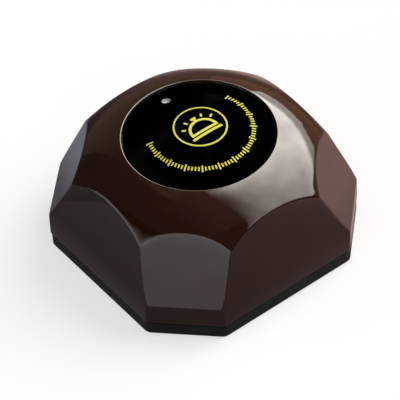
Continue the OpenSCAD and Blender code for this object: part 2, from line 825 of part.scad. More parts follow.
module chip_resistors() {
    color(EPOXY_BLACK) small_parts(-1, resistor_size);
}

module chip_capacitors() {
    color(CERAMIC_TAN) small_parts(1, capacitor_size);
}

module antenna_coil() {
    color(COPPER) wire(antenna_path, antenna_wire_r, [1, 0, 0]);
}

module battery_holder() {
    color(HOLDER_BLACK) difference() {
        translate([-holder_l / 2, holder_y - holder_half_w, z_holder_low])
            cube([holder_l, 2 * holder_half_w, z_board - z_holder_low]);
        translate([-holder_in_l / 2, holder_y, z_battery]) rotate([0, 90, 0])
            cylinder(h = holder_in_l, r = battery_r + battery_clear);
        // The contacts' pins leave through the holder's floor
        for (s = [1, -1]) translate([s * (holder_in_l - contact_t) / 2, holder_y, z_battery])
            cylinder(h = BIG, r = norm([contact_pin_w, contact_t]) / 2 + pin_gap);
    }
}

module battery() {
    color(JACKET_GREY) translate([battery_x, holder_y, z_battery]) rotate([0, 90, 0]) {
        translate([0, 0, -battery_l / 2]) cylinder(h = battery_l - nub_l, r = battery_r);
        cylinder(h = battery_l / 2, r = nub_r);
    }
}

// An end contact: a plate against the holder's end and a pin up through the board
module end_contact(side) {
    translate([side * (holder_in_l - contact_t) / 2, holder_y, 0]) {
        translate([-contact_t / 2, -contact_w / 2, z_battery - contact_w / 2])
            cube([contact_t, contact_w, contact_w]);
        translate([-contact_t / 2, -contact_pin_w / 2, z_battery])
            cube([contact_t, contact_pin_w, z_board_top + contact_pin_out - z_battery]);
    }
}

module positive_contact() {
    color(TIN) end_contact(1);
}

module negative_contact() {
    color(TIN) end_contact(-1);
}

module negative_spring() {
    color(SPRING_STEEL) wire(negative_path, negative_wire_r, [1, 0, 0]);
}

top_shell();
base_plate();
case_screws();
rubber_feet();
face_disc();
face_adhesive();
button_carrier();
light_pipe();
return_spring();
circuit_board();
board_screws();
switch_body();
switch_cover();
switch_legs();
switch_snap_dome();
switch_stem();
led_lens();
led_leads();
radio_chip();
radio_chip_leads();
radio_transistor();
saw_resonator();
chip_resistors();
chip_capacitors();
antenna_coil();
battery_holder();
battery();
positive_contact();
negative_contact();
negative_spring();
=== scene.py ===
# %% [markdown]
# # A waiter call button
# This lesson dresses a table call button: a faceted brown housing, a black base and a domed black push
# disc. The construction comes from a CAD model, and Blender adds what the eye sees: soft edges, glossy
# plastic, print and studio light.

# %% Load the fixed frame
import json
import math

import bpy
from mathutils import Matrix, Vector

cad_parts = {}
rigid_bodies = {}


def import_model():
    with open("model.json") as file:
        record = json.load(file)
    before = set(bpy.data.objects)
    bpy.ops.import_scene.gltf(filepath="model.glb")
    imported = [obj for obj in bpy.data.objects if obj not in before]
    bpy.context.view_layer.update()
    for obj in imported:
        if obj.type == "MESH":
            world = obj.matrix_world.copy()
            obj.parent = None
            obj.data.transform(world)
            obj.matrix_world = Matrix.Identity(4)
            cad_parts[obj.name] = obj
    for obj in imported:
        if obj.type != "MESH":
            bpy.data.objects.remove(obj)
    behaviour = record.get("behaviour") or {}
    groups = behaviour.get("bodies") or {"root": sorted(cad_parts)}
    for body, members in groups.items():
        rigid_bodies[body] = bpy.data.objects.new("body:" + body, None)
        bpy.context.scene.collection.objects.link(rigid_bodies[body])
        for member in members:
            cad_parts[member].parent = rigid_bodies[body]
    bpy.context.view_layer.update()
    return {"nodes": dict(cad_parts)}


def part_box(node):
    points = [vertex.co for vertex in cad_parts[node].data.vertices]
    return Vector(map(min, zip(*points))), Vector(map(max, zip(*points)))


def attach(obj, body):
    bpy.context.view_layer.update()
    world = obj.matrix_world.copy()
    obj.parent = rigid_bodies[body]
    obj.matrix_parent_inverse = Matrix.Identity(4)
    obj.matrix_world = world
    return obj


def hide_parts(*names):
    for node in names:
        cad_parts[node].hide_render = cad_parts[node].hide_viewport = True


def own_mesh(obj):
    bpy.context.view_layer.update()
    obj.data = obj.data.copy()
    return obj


bpy.ops.object.select_all(action="SELECT")
bpy.ops.object.delete()
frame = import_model()
bpy.ops.object.select_all(action="DESELECT")

# %% [markdown]
# ## Sizes
# The frame is in metres, but a maker thinks in millimetres, so one name turns one into the other. The
# housing's form is a few planes and one arc turned round the middle axis. Their values are the
# construction's own, so that the new surfaces lie on the solid. Only the lower edge is finer than the
# solid's, because the real one is that crisp.

# %% Sizes of the housing, in millimetres
MM = 0.001
HALF_WIDE = round(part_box("top_shell")[1].x / MM, 3)
HALF_CORNER = 45.0
SHELL_LOW_Z = round(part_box("top_shell")[0].z / MM, 3)
LOWER_EDGE_R = 0.6
BAND_Z = 12.5
SIDE_LEAN, SIDE_BEND_R = math.radians(16.6), 40.0
CORNER_LEAN, CORNER_BEND_R = math.radians(27.8), 0.6
RIM_Z, OPENING_R = 38.8, 22.75
DOME_OFFSET, DOME_MARGIN = 11.8, 2.1
DOME_R = math.hypot(HALF_WIDE, math.sqrt(2) * HALF_CORNER - HALF_WIDE) + DOME_MARGIN - DOME_OFFSET
DOME_Z = RIM_Z - math.sqrt(DOME_R ** 2 - (OPENING_R - DOME_OFFSET) ** 2)
print(f"dome arc radius {DOME_R:.2f} mm, centred {DOME_OFFSET} mm out at z {DOME_Z:.2f} mm")

# %% [markdown]
# The disc's crown is a cap of a large sphere, so its height is one formula. The disc, its window and its
# print all use it, which keeps them on one surface.

# %% Sizes of the push disc, in millimetres
DISC_R = round(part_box("face_disc")[1].x / MM, 3)
DISC_LAND_Z = round(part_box("face_disc")[0].z / MM, 3)
CROWN_TOP_Z, CROWN_R = 43.129, 57.0
CROWN_Z = CROWN_TOP_Z - CROWN_R
DISC_WALL, DISC_LAND_W = 1.6, 3.2
WINDOW_R, WINDOW_Y = 1.38, 15.5


def crown_height(x, y, sink=0.0):
    """Height of the disc's crown over a point of the plan, or of the same crown sunk by sink."""
    return CROWN_Z + math.sqrt((CROWN_R - sink) ** 2 - x * x - y * y)


print(f"disc radius {DISC_R} mm, crown top {crown_height(0, 0):.2f} mm")

# %% [markdown]
# ## Camera
# The photograph was taken from far away with a long lens, from the front left and above, with the camera
# tipped a little. A camera is only a place and three directions, so its turn is written as a matrix of
# those directions: right, up and back.

# %% Camera at the photograph's angle
PHOTO_SIZE = 400
AIM_PIXEL = (203.255, 199.814)
AIM = Vector((-0.047, 0.019, 11.161)) * MM
VIEW_AZIMUTH, VIEW_ELEVATION, VIEW_ROLL = math.radians(-35.069), math.radians(45.783), math.radians(-4.053)
VIEW_DISTANCE, LENS, SENSOR = 0.9, 271.29, 36.0


def direction(azimuth, elevation):
    """Direction from the piece. Azimuth turns from the front to the right, elevation goes upwards."""
    level = math.cos(elevation)
    return Vector((math.sin(azimuth) * level, -math.cos(azimuth) * level, math.sin(elevation)))


level = Vector((math.cos(VIEW_AZIMUTH), math.sin(VIEW_AZIMUTH), 0))
back = direction(VIEW_AZIMUTH, VIEW_ELEVATION)
above = back.cross(level)
right = level * math.cos(VIEW_ROLL) + above * math.sin(VIEW_ROLL)
up = above * math.cos(VIEW_ROLL) - level * math.sin(VIEW_ROLL)
pixel = SENSOR / LENS * VIEW_DISTANCE / PHOTO_SIZE
aside, below = ((place - PHOTO_SIZE / 2) * pixel for place in AIM_PIXEL)
middle = AIM - right * aside + up * below
turn = Matrix((right, up, back)).transposed()
bpy.ops.object.camera_add(location=middle + back * VIEW_DISTANCE, rotation=turn.to_euler())
camera = bpy.context.object
camera.name = "photo_camera"
camera.data.lens = LENS
camera.data.sensor_width = SENSOR
bpy.context.scene.camera = camera
print("camera at", [round(c, 3) for c in camera.location])

# %% [markdown]
# ## A helper for turned and lofted forms
# Most pieces here are a stack of closed outlines. By hand one adds a circle, extrudes it ring by ring, and
# moves each ring to its place. The helper does the same, with each ring's points laid on a given outline.

# %% Loft helper
WELD_GAP = 0.001


def as_piece(name):
    """Names the active object, and leaves it unselected in object mode."""
    if bpy.context.mode != "OBJECT":
        bpy.ops.object.mode_set(mode="OBJECT")
    piece = bpy.context.object
    piece.name = name
    piece.data.name = name
    bpy.ops.object.select_all(action="DESELECT")
    return piece


def activate(piece):
    bpy.ops.object.select_all(action="DESELECT")
    piece.select_set(True)
    bpy.context.view_layer.objects.active = piece


def edit_all(piece):
    """Goes to edit mode with all of a piece selected."""
    activate(piece)
    bpy.ops.object.mode_set(mode="EDIT")
    bpy.ops.mesh.select_all(action="SELECT")


def edit_some(piece, kind, test):
    """Goes to edit mode with just those edges or faces selected that pass a test."""
    activate(piece)
    bpy.ops.object.mode_set(mode="EDIT")
    bpy.ops.mesh.select_mode(type=kind)
    bpy.ops.mesh.select_all(action="DESELECT")
    bpy.ops.object.mode_set(mode="OBJECT")
    for part in piece.data.edges if kind == "EDGE" else piece.data.polygons:
        part.select = test(part)
    bpy.ops.object.mode_set(mode="EDIT")


def loft(name, rings, closed=False):
    """A skin over rings of points in mm, each with as many points, in turn anticlockwise from the first."""
    if closed:
        rings = rings + [rings[0]]
    columns = len(rings[0])
    bpy.ops.mesh.primitive_circle_add(vertices=columns, radius=1)
    edit_all(bpy.context.object)
    for _ in rings[1:]:
        bpy.ops.mesh.extrude_edges_move(TRANSFORM_OT_translate={"value": (0, 0, 1)})
    piece = as_piece(name)
    for vertex in piece.data.vertices:
        column = round(math.atan2(vertex.co.y, vertex.co.x) / math.tau * columns) % columns
        vertex.co = Vector(rings[round(vertex.co.z)][column]) * MM
    if closed:
        merge_doubles(piece)
    return piece


def merge_doubles(piece):
    edit_all(piece)
    bpy.ops.mesh.remove_doubles(threshold=WELD_GAP * MM)
    bpy.ops.mesh.normals_make_consistent(inside=False)
    as_piece(piece.name)


def circle(radius, z, columns, centre_y=0.0):
    """Points of a level circle, in mm. z is a height, or a function of the plan point."""
    points = []
    for i in range(columns):
        x = radius * math.cos(math.tau * i / columns)
        y = centre_y + radius * math.sin(math.tau * i / columns)
        points.append((x, y, z(x, y) if callable(z) else z))
    return points


def faces_by_edge(piece):
    faces_of = {}
    for face in piece.data.polygons:
        for key in face.edge_keys:
            faces_of.setdefault(key, []).append(face)
    return faces_of


def edit_edges(piece, test, place_test):
    """Goes to edit mode with the edges whose faces pass one test, and whose ends, in mm, pass the other."""
    keys = {key for key, faces in faces_by_edge(piece).items() if test(faces) and all(
        place_test(piece.data.vertices[v].co / MM) for v in key)}
    edit_some(piece, "EDGE", lambda edge: edge.key in keys)


def crease_angle(faces):
    return math.degrees(faces[0].normal.angle(faces[1].normal)) if len(faces) == 2 else 0.0


def soften(piece, angle=30):
    """Smooth shading with flat faces kept flat: normals lean towards the larger faces."""
    activate(piece)
    bpy.ops.object.shade_smooth_by_angle(angle=math.radians(angle), keep_sharp_edges=False)
    weighted = piece.modifiers.new("flat_faces", "WEIGHTED_NORMAL")
    weighted.keep_sharp = True
    bpy.ops.object.modifier_apply(modifier=weighted.name)
    bpy.ops.object.select_all(action="DESELECT")


print("helpers for forms: loft, circle, edit_edges, soften")

# %% [markdown]
# ## Housing
# The real housing is one injection-moulded ABS shell: a dome cut by four wide and four narrow leaning
# faces. A hand could turn the dome and slice it, but slices leave ragged slivers where they cross the
# dome's own faces, and slivers spoil a bevel. So the skin is lofted in columns that follow the faces. Each
# column climbs its face until it meets the dome, and then runs up the dome to the rim.

# %% Faces and dome as formulas
WIDE_COLUMNS, CORNER_COLUMNS = 16, 10
COLUMNS = 4 * (WIDE_COLUMNS + CORNER_COLUMNS)
ARCH_FROM_Z, HALVINGS = BAND_Z + 8, 40


def face_reach(z, half, lean, bend_r):
    """Distance of a leaning face from the middle axis at height z: upright, round the bend, then leaning."""
    tangent = bend_r * math.tan(lean / 2)
    if z <= BAND_Z - tangent:
        return half
    if z <= BAND_Z + tangent * math.cos(lean):
        return half - bend_r + math.sqrt(bend_r ** 2 - (z - BAND_Z + tangent) ** 2)
    return half - (z - BAND_Z) * math.tan(lean)


def column_point(column, z, inset=0.0):
    """Point of a column at height z: part of the way along a wide face, or along the next corner face."""
    quarter, step = divmod(column, WIDE_COLUMNS + CORNER_COLUMNS)
    wide = face_reach(z, HALF_WIDE, SIDE_LEAN, SIDE_BEND_R) - inset
    crease = math.sqrt(2) * (face_reach(z, HALF_CORNER, CORNER_LEAN, CORNER_BEND_R) - inset) - wide
    if step <= WIDE_COLUMNS:
        point = (wide, crease * (2 * step / WIDE_COLUMNS - 1))
    else:
        part = (step - WIDE_COLUMNS) / CORNER_COLUMNS
        point = (wide + (crease - wide) * part, crease + (wide - crease) * part)
    turn = Matrix.Rotation(quarter * math.pi / 2, 2)
    return turn @ Vector(point)


def arch_height(column):
    """Height at which a column of a face meets the dome, found by halving."""
    low, high = ARCH_FROM_Z, RIM_Z
    for _ in range(HALVINGS):
        middle = (low + high) / 2
        dome = DOME_OFFSET + math.sqrt(DOME_R ** 2 - (middle - DOME_Z) ** 2)
        if column_point(column, middle).length < dome:
            low = middle
        else:
            high = middle
    return low


arches = [arch_height(column) for column in range(COLUMNS)]
print(f"arches run from z {min(arches):.1f} to {max(arches):.1f} mm over {COLUMNS} columns")

# %% [markdown]
# The rows come next, close where the surface bends and wide apart on the plain faces. The rim ends in a
# small fillet, because a moulded edge is never quite sharp and its fillet is what catches the light.

# %% Rows of the housing's skin
LOWER_STEPS = 5
BEND_ROWS = [6.66, 7.8, 9.0, 10.2, 11.4, 12.35, 12.43, 12.51, 12.6, 13.4, 14.5, 15.7, 16.9, 18.1]
FACE_STEPS, DOME_STEPS, RIM_STEPS = 7, 11, 5
RIM_FILLET = 0.35

turns = [math.pi / 2 * i / LOWER_STEPS for i in range(LOWER_STEPS + 1)]
rows = [(SHELL_LOW_Z + LOWER_EDGE_R * (1 - math.cos(turn)), LOWER_EDGE_R * (1 - math.sin(turn)))
        for turn in turns] + [(z, 0) for z in BEND_ROWS]
rings = [[(*column_point(c, z, inset), z) for c in range(COLUMNS)] for z, inset in rows]
start = BEND_ROWS[-1]
for i in range(1, FACE_STEPS + 1):
    heights = [start + (arches[c] - start) * i / FACE_STEPS for c in range(COLUMNS)]
    rings.append([(*column_point(c, heights[c]), heights[c]) for c in range(COLUMNS)])
fillet_r = OPENING_R + RIM_FILLET
fillet_z = DOME_Z + math.sqrt((DOME_R - RIM_FILLET) ** 2 - (fillet_r - DOME_OFFSET) ** 2)
rim_turn = math.atan2(fillet_z - DOME_Z, fillet_r - DOME_OFFSET)
directions = [column_point(c, arches[c]).normalized() for c in range(COLUMNS)]
for i in range(1, DOME_STEPS + 1):
    ring = []
    for c in range(COLUMNS):
        arch_turn = math.asin((arches[c] - DOME_Z) / DOME_R)
        turn = arch_turn + (rim_turn - arch_turn) * i / DOME_STEPS
        reach = directions[c] * (DOME_OFFSET + DOME_R * math.cos(turn))
        ring.append((*reach, DOME_Z + DOME_R * math.sin(turn)))
    rings.append(ring)
for i in range(1, RIM_STEPS + 1):
    turn = rim_turn + (math.pi - rim_turn) * i / RIM_STEPS
    z = fillet_z + RIM_FILLET * math.sin(turn)
    rings.append([(*(d * (fillet_r + RIM_FILLET * math.cos(turn))), z) for d in directions])
housing = loft("housing_shell", rings)
print("housing skin:", len(housing.data.polygons), "faces")

# %% [markdown]
# The creases between the faces, and the arches where they cut the dome, have small fillets. They are picked
# by the angle between their two faces, so the gentle bend and the dome stay as they are. On the real shell
# the fillet is widest where an arch comes down to a crease, and fine elsewhere. A Bevel modifier can do
# that, because it takes each edge's own weight, while the operator has one width.

# %% Bevel the creases and arches
BEVEL_WIDEST, BEVEL_STEPS = 1.3, 4
CREASE_WEIGHT, ARCH_WEIGHT_LOW, ARCH_WEIGHT_HIGH = 0.33, 1.0, 0.38
SHARP_ANGLE, STEEP, RIM_MARGIN, NEAR = 20, 0.9, 0.6, 0.01


def bevel_weight(edge):
    """Weight of a sharp edge: fine on the upright creases, and on the arches finer towards the top."""
    a, b = (housing.data.vertices[v].co / MM for v in edge.vertices)
    if max(a.z, b.z) < min(arches) + NEAR or abs(a.z - b.z) > (a - b).length * STEEP:
        return CREASE_WEIGHT
    part = min(((a.z + b.z) / 2 - min(arches)) / (max(arches) - min(arches)) * 2, 1)
    return ARCH_WEIGHT_LOW + (ARCH_WEIGHT_HIGH - ARCH_WEIGHT_LOW) * part


edit_edges(housing, lambda faces: crease_angle(faces) > SHARP_ANGLE, lambda end: end.z < RIM_Z - RIM_MARGIN)
housing = as_piece("housing_shell")
weights = housing.data.attributes.new("bevel_weight_edge", "FLOAT", "EDGE")
sharp = [edge for edge in housing.data.edges if edge.select]
for edge in sharp:
    weights.data[edge.index].value = bevel_weight(edge)
activate(housing)
fillets = housing.modifiers.new("fillets", "BEVEL")
fillets.limit_method, fillets.width, fillets.segments = "WEIGHT", BEVEL_WIDEST * MM, BEVEL_STEPS
bpy.ops.object.modifier_apply(modifier=fillets.name)
print(len(sharp), "sharp edges rounded, now", len(housing.data.polygons), "faces")

# %% [markdown]
# The inside of the shell, with its well, bosses and plunger guide, is already right in the CAD node. A
# copy of that node loses its outer skin, and its open edges are bridged to the new skin, at the rim and
# under the lower edge. The result is one closed wall, as moulded.

# %% Join the skin to the CAD node's inside
SKIN_DEPTH, FACING_DOWN, FACING_SIDE = 0.6, -0.9, -0.5


def outer_depth(point):
    """How far a point in mm lies outside the housing's outer form, negative inside."""
    x, y, z = point
    wide = face_reach(z, HALF_WIDE, SIDE_LEAN, SIDE_BEND_R)
    corner = face_reach(z, HALF_CORNER, CORNER_LEAN, CORNER_BEND_R)
    dome = math.hypot(max(math.hypot(x, y) - DOME_OFFSET, 0), z - DOME_Z) - DOME_R
    return max(abs(x) - wide, abs(y) - wide, abs(x + y) / math.sqrt(2) - corner,
               abs(x - y) / math.sqrt(2) - corner, dome)


def own_copy(piece, name):
    copy = bpy.data.objects.new(name, piece.data.copy())
    bpy.context.scene.collection.objects.link(copy)
    return copy


def copy_of_node(node, name):
    """A copy of a CAD node, with its loose triangles merged."""
    copy = own_copy(frame["nodes"][node], name)
    merge_doubles(copy)
    return copy


def join(name, pieces):
    bpy.ops.object.select_all(action="DESELECT")
    for piece in pieces:
        piece.select_set(True)
    bpy.context.view_layer.objects.active = pieces[0]
    bpy.ops.object.join()
    return as_piece(name)


def is_outer_skin(face):
    centre = face.center / MM
    under = centre.z < SHELL_LOW_Z + NEAR and face.normal.z < FACING_DOWN
    return under or (outer_depth(centre) > -SKIN_DEPTH and face.normal.z > FACING_SIDE)


def bridge_open_edges(piece, place_test):
    edit_edges(piece, lambda faces: len(faces) == 1, place_test)
    bpy.ops.mesh.bridge_edge_loops()
    as_piece(piece.name)


inside = copy_of_node("top_shell", "housing_inside")
edit_some(inside, "FACE", is_outer_skin)
bpy.ops.mesh.delete(type="FACE")
inside = as_piece("housing_inside")
inside.data.materials.clear()
housing = join("housing_shell", [housing, inside])
bridge_open_edges(housing, lambda end: end.z > BAND_Z)
bridge_open_edges(housing, lambda end: end.z < BAND_Z)
merge_doubles(housing)
soften(housing)
open_edges = sum(len(faces) != 2 for faces in faces_by_edge(housing).values())
print("housing shell:", len(housing.data.polygons), "faces,", open_edges, "open edges")
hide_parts("top_shell")
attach(housing, "housing")

# %% [markdown]
# ## Push disc
# The disc is a clear cap printed black from behind, with a hole for the light window. Its rings start
# round the window, off centre, and grow until they are the disc's edge. Then they go round the edge, under
# the land and back up to the window, so the skin closes on itself.

# %% Disc with its window hole
DISC_COLUMNS, CROWN_STEPS, EDGE_STEPS, UNDER_STEPS = 120, 26, 5, 12
EDGE_FILLET, LAND_CHAMFER = 0.3, 0.15


def growing_circle(part, outer, z):
    """A circle part of the way from the window to the outer radius, laid on a surface."""
    return circle(WINDOW_R + (outer - WINDOW_R) * part, z, DISC_COLUMNS, WINDOW_Y * (1 - part))


fillet_r = DISC_R - EDGE_FILLET
fillet_z = CROWN_Z + math.sqrt((CROWN_R - EDGE_FILLET) ** 2 - fillet_r ** 2)
edge_turn = math.atan2(fillet_z - CROWN_Z, fillet_r)
crown_edge_r = CROWN_R * math.cos(edge_turn)
rings = [growing_circle(i / CROWN_STEPS, crown_edge_r, crown_height) for i in range(CROWN_STEPS + 1)]
for i in range(1, EDGE_STEPS + 1):
    turn = edge_turn * (1 - i / EDGE_STEPS)
    rings.append(circle(fillet_r + EDGE_FILLET * math.cos(turn), fillet_z + EDGE_FILLET * math.sin(turn),
                        DISC_COLUMNS))
land_r = DISC_R - DISC_LAND_W
for radius, z in ((DISC_R, DISC_LAND_Z + LAND_CHAMFER), (DISC_R - LAND_CHAMFER, DISC_LAND_Z),
                  (land_r, DISC_LAND_Z)):
    rings.append(circle(radius, z, DISC_COLUMNS))
rings += [growing_circle(1 - i / UNDER_STEPS, land_r, lambda x, y: crown_height(x, y, DISC_WALL))
          for i in range(UNDER_STEPS + 1)]
disc = loft("push_disc", rings, closed=True)
soften(disc, angle=40)
print("push disc:", len(disc.data.polygons), "faces")
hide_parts("face_disc")
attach(disc, "button")

# %% [markdown]
# ## Print on the disc
# The yellow marks are screen-printed ink, a few hundredths of a millimetre thick. Each mark is a ribbon: a
# grid bent along a line and laid on the crown. The centre holds a plain counter bell and the border a
# plain scale of ticks, so that the disc reads as a call button at a glance.

# %% Ribbons of ink laid on the crown
INK_PROUD, INK_SINK = 0.02, 0.03
PRINT_Y = -1.0
RING_R, RING_W, RING_COLUMNS = 7.8, 0.5, 128


def lay_on_crown(piece, columns_of):
    """Moves grid points to plan places, with the upper layer proud of the crown and the lower one sunk."""
    for vertex in piece.data.vertices:
        x, y = columns_of(vertex.co.x, vertex.co.y)
        lift = INK_PROUD if vertex.co.z > 0.5 else -INK_SINK
        vertex.co = Vector((x, y, crown_height(x, y) + lift)) * MM


def ribbon(name, shape, width, steps):
    """A strip of ink. Its shape is a function to the plan point from mm along and aside, and a length."""
    place, length = shape
    bpy.ops.mesh.primitive_grid_add(x_subdivisions=steps, y_subdivisions=2, size=2)
    edit_all(bpy.context.object)
    bpy.ops.mesh.extrude_region_move(TRANSFORM_OT_translate={"value": (0, 0, 1)})
    piece = as_piece(name)
    lay_on_crown(piece, lambda u, v: place(u * length / 2, v * width / 2))
    merge_doubles(piece)
    return piece


def arc(centre, radius, start, end):
    """Place function of an arc, from start to end in degrees."""
    middle, span = math.radians(start + end) / 2, math.radians(end - start)

    def place(along, aside):
        turn = middle - along / radius
        reach = radius + aside
        return centre[0] + reach * math.cos(turn), centre[1] + reach * math.sin(turn)
    return place, radius * span


def line(start, end):
    a, b = Vector(start), Vector(end)
    way = (b - a).normalized()
    side = Vector((-way.y, way.x))

    def place(along, aside):
        return tuple((a + b) / 2 + way * along + side * aside)
    return place, (b - a).length


ring_sections = ((1, -INK_SINK), (1, INK_PROUD), (-1, INK_PROUD), (-1, -INK_SINK))
print_ring = loft("print_ring", [
    circle(RING_R + side * RING_W / 2, lambda x, y: crown_height(x, y) + lift, RING_COLUMNS, PRINT_Y)
    for side, lift in ring_sections], closed=True)
BELL_FOOT, BELL_R, BELL_STROKE = (0, PRINT_Y - 2.2), 4.3, 0.85
BRIM_OVER, FOOT_OVER, FOOT_DROP = 0.37, 0.9, 1.35
KNOB_HALF, KNOB_RISE, STEM_RISE = 0.9, 1.35, 1.2
RAY_FROM, RAY_TO, RAY_STROKE, RAY_TURNS = 5.5, 6.8, 0.6, (36, 63, 117, 144)


def from_bell(degrees, reach):
    turn = math.radians(degrees)
    return BELL_FOOT[0] + reach * math.cos(turn), BELL_FOOT[1] + reach * math.sin(turn)


def level_stroke(half, rise):
    height = BELL_FOOT[1] + rise
    return ribbon("stroke", line((-half, height), (half, height)), BELL_STROKE, 6)


bell = [ribbon("stroke", arc(BELL_FOOT, BELL_R, 0, 180), BELL_STROKE, 24),
        level_stroke(BELL_R + BRIM_OVER, 0),
        level_stroke(BELL_R + FOOT_OVER, -FOOT_DROP),
        level_stroke(KNOB_HALF, BELL_R + KNOB_RISE),
        ribbon("stroke", line(from_bell(90, BELL_R), from_bell(90, BELL_R + STEM_RISE)), BELL_STROKE, 2)]
rays = [ribbon("ray", line(from_bell(turn, RAY_FROM), from_bell(turn, RAY_TO)), RAY_STROKE, 2)
        for turn in RAY_TURNS]
print_bell = join("print_bell", bell + rays)
print("ring and bell:", len(print_ring.data.polygons), len(print_bell.data.polygons), "faces")

# %% [markdown]
# The ticks are alike, so a short and a long one are modelled, and copies with their own mesh are turned to
# their places. Every fifth is long, as on an instrument.

# %% Scale of ticks
SCALE_FROM, SCALE_TO, TICKS = 160, 382, 61
TICK_R, TICK_SHORT, TICK_LONG, TICK_W = 15.55, 1.2, 2.1, 0.46


def tick(name, length):
    return ribbon(name, (lambda along, aside: (TICK_R + along, aside), length), TICK_W, 3)


def turned_copy(piece, degrees):
    """A copy turned round the print's centre and then laid on the crown again, since that isn't its top."""
    copy = own_copy(piece, piece.name)
    turn = Matrix.Rotation(math.radians(degrees), 2)
    for vertex in copy.data.vertices:
        x, y, z = vertex.co / MM
        above = z - crown_height(x, y)
        x, y = turn @ Vector((x, y)) + Vector((0, PRINT_Y))
        vertex.co = Vector((x, y, crown_height(x, y) + above)) * MM
    return copy


short_tick, long_tick = tick("short_tick", TICK_SHORT), tick("long_tick", TICK_LONG)
ticks = [turned_copy(long_tick if i % 5 == 0 else short_tick,
                     SCALE_FROM + (SCALE_TO - SCALE_FROM) * i / (TICKS - 1)) for i in range(TICKS)]
print_scale = join("print_scale", ticks)
for pattern in (short_tick, long_tick):
    bpy.data.objects.remove(pattern)
for mark in (print_ring, print_bell, print_scale):
    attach(mark, "button")
print("scale:", TICKS, "ticks")

# %% [markdown]
# ## Base
# The base is a second moulding in black, under a thin seam. A copy of the CAD node keeps its floor, lip,
# screw wells and foot pockets. Its flat triangles are dissolved to whole faces, and its outer edges get the
# small radius that a mould leaves.

# %% Base with softened edges
BASE_EDGE, BASE_EDGE_STEPS = 0.15, 3
FLAT_WITHIN, RIGHT_ANGLE_FROM, WALL_MARGIN = 0.5, 60, 1.5
base = copy_of_node("base_plate", "base_moulding")
edit_all(base)
bpy.ops.mesh.dissolve_limited(angle_limit=math.radians(FLAT_WITHIN))
base = as_piece("base_moulding")


def on_outer_wall(place):
    x, y = abs(place.x), abs(place.y)
    return max(max(x, y) - HALF_WIDE, (x + y) / math.sqrt(2) - HALF_CORNER) > -WALL_MARGIN


edit_edges(base, lambda faces: crease_angle(faces) > RIGHT_ANGLE_FROM, on_outer_wall)
bpy.ops.mesh.bevel(offset=BASE_EDGE * MM, segments=BASE_EDGE_STEPS, affect="EDGES", clamp_overlap=True)
base = as_piece("base_moulding")
soften(base)
print("base:", len(base.data.polygons), "faces")
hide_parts("base_plate")
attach(base, "housing")

# %% [markdown]
# ## Springs that give way
# Two springy pieces lie between bodies. The coil stands on the housing and lifts the carrier, and the dished
# plate lies on the switch's floor and clicks flat under its stem. What presses them would cut through a
# rigid piece. Each is a copy of its node, with its own mesh, that stays on its seat on the housing.

# %% Coil spring and snap dome
def flattening_copy(node):
    piece = copy_of_node(node, "flexing_" + node)
    soften(piece, angle=40)
    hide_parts(node)
    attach(piece, "housing")
    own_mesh(piece)
    return piece


coil_spring = flattening_copy("return_spring")
snap_dome = flattening_copy("switch_snap_dome")
print("flattening pieces:", coil_spring.name, "and", snap_dome.name)

# %% [markdown]
# ## Materials
# A colour picked on a screen is sRGB, while a shader works in linear light, so one function turns one into
# the other. Another adds a node with its settings and links, and one ends a material in a shader. Patterns
# read Object coordinates in metres, so their scales are real sizes.

# %% Material helpers
def linear(hex_colour):
    """Linear RGBA from an sRGB hex colour."""
    parts = [int(hex_colour[i:i + 2], 16) / 255 for i in (1, 3, 5)]
    return tuple(c / 12.92 if c <= 0.04045 else ((c + 0.055) / 1.055) ** 2.4 for c in parts) + (1.0,)


def add_node(mat, kind, inputs=None, **settings):
    """Adds one shader node, and links or sets its inputs. A node as an input gives its first output."""
    node = mat.node_tree.nodes.new("ShaderNode" + kind)
    for name, value in settings.items():
        setattr(node, name, value)
    for name, value in (inputs or {}).items():
        if isinstance(value, bpy.types.Node):
            value = value.outputs[0]
        if isinstance(value, bpy.types.NodeSocket):
            mat.node_tree.links.new(value, node.inputs[name])
        else:
            node.inputs[name].default_value = value
    return node


def new_material(name):
    """An empty material, and the place in metres that its patterns read."""
    mat = bpy.data.materials.new(name)
    mat.use_nodes = True
    mat.node_tree.nodes.clear()
    return mat, add_node(mat, "TexCoord").outputs["Object"]


def sized(place, size_mm, **inputs):
    """Inputs of a pattern whose cells measure size_mm."""
    return {"Vector": place, "Scale": 1 / (size_mm * MM), **inputs}


def finish_material(mat, colour, roughness, relief=None, depth_mm=0.0, **sockets):
    """Ends a material in a shader. A colour, roughness or relief that varies comes as a node or an output."""
    inputs = {"Base Color": colour, "Roughness": roughness}
    if relief is not None:
        inputs["Normal"] = add_node(mat, "Bump", {
            "Height": relief, "Strength": 1.0, "Distance": depth_mm * MM})
    shader = add_node(mat, "BsdfPrincipled", inputs)
    for socket, value in sockets.items():
        shader.inputs[socket.replace("_", " ")].default_value = value
    add_node(mat, "OutputMaterial", {"Surface": shader})
    return mat


def between(mat, part, low, high, start=0.3, end=0.7):
    """A value from low to high, or a colour between two hex values, as part goes from start to end."""
    if isinstance(low, str):
        return cover(mat, between(mat, part, 0.0, 1.0, start, end), low, high)
    return add_node(mat, "MapRange", {
        "Value": part, "From Min": start, "From Max": end, "To Min": low, "To Max": high})


def cover(mat, part, under, over):
    """Lays the colour over on the colour under wherever part is 1."""
    mix = add_node(mat, "Mix", {"Factor": part}, data_type="RGBA")
    for place, colour in ((6, under), (7, over)):
        if isinstance(colour, str):
            mix.inputs[place].default_value = linear(colour)
        else:
            mat.node_tree.links.new(colour, mix.inputs[place])
    return mix.outputs[2]


def dress(piece, mat):
    piece.data.materials.clear()
    piece.data.materials.append(mat)
    for face in piece.data.polygons:
        face.material_index = 0


def dress_nodes(mat, *nodes):
    """Gives CAD nodes a material through their objects' slots, which leaves their meshes alone."""
    for node in nodes:
        for slot in frame["nodes"][node].material_slots:
            slot.link = "OBJECT"
            slot.material = mat


